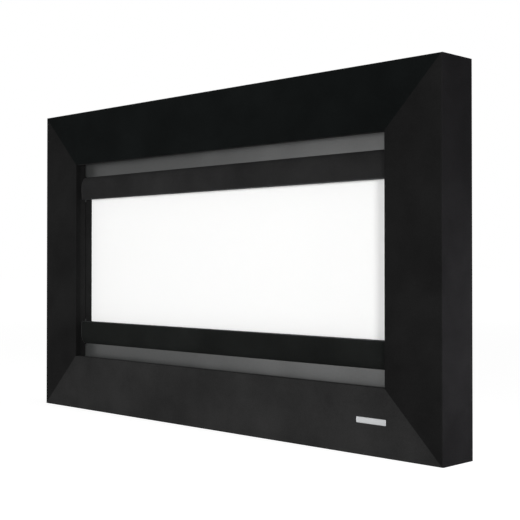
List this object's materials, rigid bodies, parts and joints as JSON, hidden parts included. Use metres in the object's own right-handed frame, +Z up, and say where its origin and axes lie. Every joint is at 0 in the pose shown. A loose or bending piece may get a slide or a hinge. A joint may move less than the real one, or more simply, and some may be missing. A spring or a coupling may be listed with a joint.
{
  "type": "fixed frame projector screen",
  "caption": "Deep velvet-wrapped frame round a recessed white projection sheet, with grey cloth masks on spring rollers that slide in from the top and the bottom.",
  "frame": {"origin": "middle of the underside of the frame, where it stands", "axes": "+X to the viewer's right along the width, +Y from the front towards the wall, +Z up"},
  "size_m": [1.9, 0.146, 1.136],
  "materials": {
    "velvet": "black velvet glued over the extrusion",
    "mask_cloth": "grey masking cloth, fine weave",
    "screen_white": "matte white vinyl",
    "plain_aluminium": "mill finish",
    "zinc_steel": "zinc plated",
    "spring_steel": "oiled spring steel",
    "black_plastic": "matt",
    "grey_plastic": "moulded"
  },
  "bodies": {
    "frame": {"bottom_pin_bracket": "zinc_steel", "bottom_rail": "velvet", "bottom_spring_arbor": "zinc_steel", "bottom_spring_bracket": "zinc_steel", "bottom_stop_left": "black_plastic", "bottom_stop_right": "black_plastic", "bottom_torsion_spring": "spring_steel", "centre_brace": "plain_aluminium", "corner_plate_bottom_left": "zinc_steel", "corner_plate_bottom_right": "zinc_steel", "corner_plate_top_left": "zinc_steel", "corner_plate_top_right": "zinc_steel", "hang_rail": "zinc_steel", "left_guide": "velvet", "left_stile": "velvet", "retaining_strip_bottom": "black_plastic", "retaining_strip_left": "black_plastic", "retaining_strip_right": "black_plastic", "retaining_strip_top": "black_plastic", "right_guide": "velvet", "right_stile": "velvet", "screen_bracket_left_1": "zinc_steel", "screen_bracket_left_2": "zinc_steel", "screen_bracket_left_3": "zinc_steel", "screen_bracket_right_1": "zinc_steel", "screen_bracket_right_2": "zinc_steel", "screen_bracket_right_3": "zinc_steel", "screen_sheet": "screen_white", "tension_tube_bottom": "plain_aluminium", "tension_tube_left": "plain_aluminium", "tension_tube_right": "plain_aluminium", "tension_tube_top": "plain_aluminium", "top_pin_bracket": "zinc_steel", "top_rail": "velvet", "top_spring_arbor": "zinc_steel", "top_spring_bracket": "zinc_steel", "top_stop_left": "black_plastic", "top_stop_right": "black_plastic", "top_torsion_spring": "spring_steel"},
    "top_mask": {"top_mask_bar": "velvet", "top_shoe_left": "black_plastic", "top_shoe_right": "black_plastic", "top_cloth_spline": "black_plastic", "top_mask_cloth": "mask_cloth"},
    "top_roller": {"top_roller_tube": "plain_aluminium", "top_wound_cloth": "mask_cloth", "top_spring_plug": "grey_plastic", "top_pin_plug": "grey_plastic"},
    "bottom_mask": {"bottom_mask_bar": "velvet", "bottom_shoe_left": "black_plastic", "bottom_shoe_right": "black_plastic", "bottom_cloth_spline": "black_plastic", "bottom_mask_cloth": "mask_cloth"},
    "bottom_roller": {"bottom_roller_tube": "plain_aluminium", "bottom_wound_cloth": "mask_cloth", "bottom_spring_plug": "grey_plastic", "bottom_pin_plug": "grey_plastic"}
  },
  "joints": [
    {"name": "top_mask_slide", "type": "slide", "parent": "frame", "child": "top_mask", "axis": [0, 0, 1], "range_m": [0, 0.134], "deforming": ["top_mask_cloth"]},
    {"name": "top_roller_spin", "type": "hinge", "parent": "frame", "child": "top_roller", "pos_m": [0, -0.0012, 1.071], "axis": [1, 0, 0], "range_deg": [-298, 0]},
    {"name": "bottom_mask_slide", "type": "slide", "parent": "frame", "child": "bottom_mask", "axis": [0, 0, -1], "range_m": [0, 0.134], "deforming": ["bottom_mask_cloth"]},
    {"name": "bottom_roller_spin", "type": "hinge", "parent": "frame", "child": "bottom_roller", "pos_m": [0, -0.0012, 0.065], "axis": [1, 0, 0], "range_deg": [0, 298]}
  ],
  "couplings": [
    {"joint": "top_roller_spin", "follows": "top_mask_slide", "rad_per_m": -38.76},
    {"joint": "bottom_roller_spin", "follows": "bottom_mask_slide", "rad_per_m": 38.76}
  ]
}
